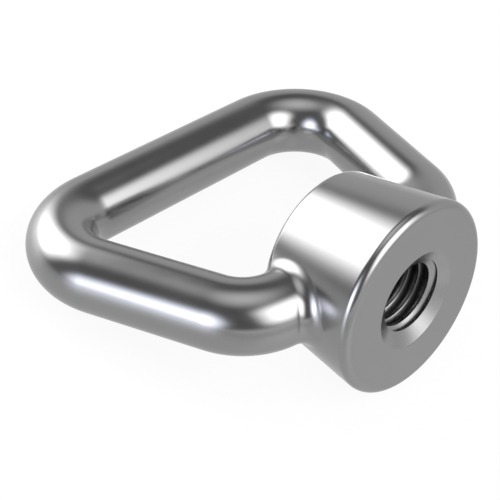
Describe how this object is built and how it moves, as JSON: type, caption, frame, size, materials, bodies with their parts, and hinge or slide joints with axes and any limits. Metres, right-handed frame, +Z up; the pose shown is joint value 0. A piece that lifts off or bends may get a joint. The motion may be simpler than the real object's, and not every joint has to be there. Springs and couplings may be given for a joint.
{
  "type": "bow nut",
  "caption": "Forged nut with a threaded round boss and a rounded triangular bow of round bar, for hooks, rope or straps.",
  "frame": {"origin": "centre of the part's footprint, on the floor it lies on", "axes": "+X along the bow's width, +Y level from the bearing face towards the far bar, +Z up"},
  "size_m": [0.056, 0.0476, 0.0251],
  "materials": {
    "steel": "polished bright, slightly soft"
  },
  "bodies": {
    "root": {"bow_nut": "steel"}
  },
  "joints": []
}
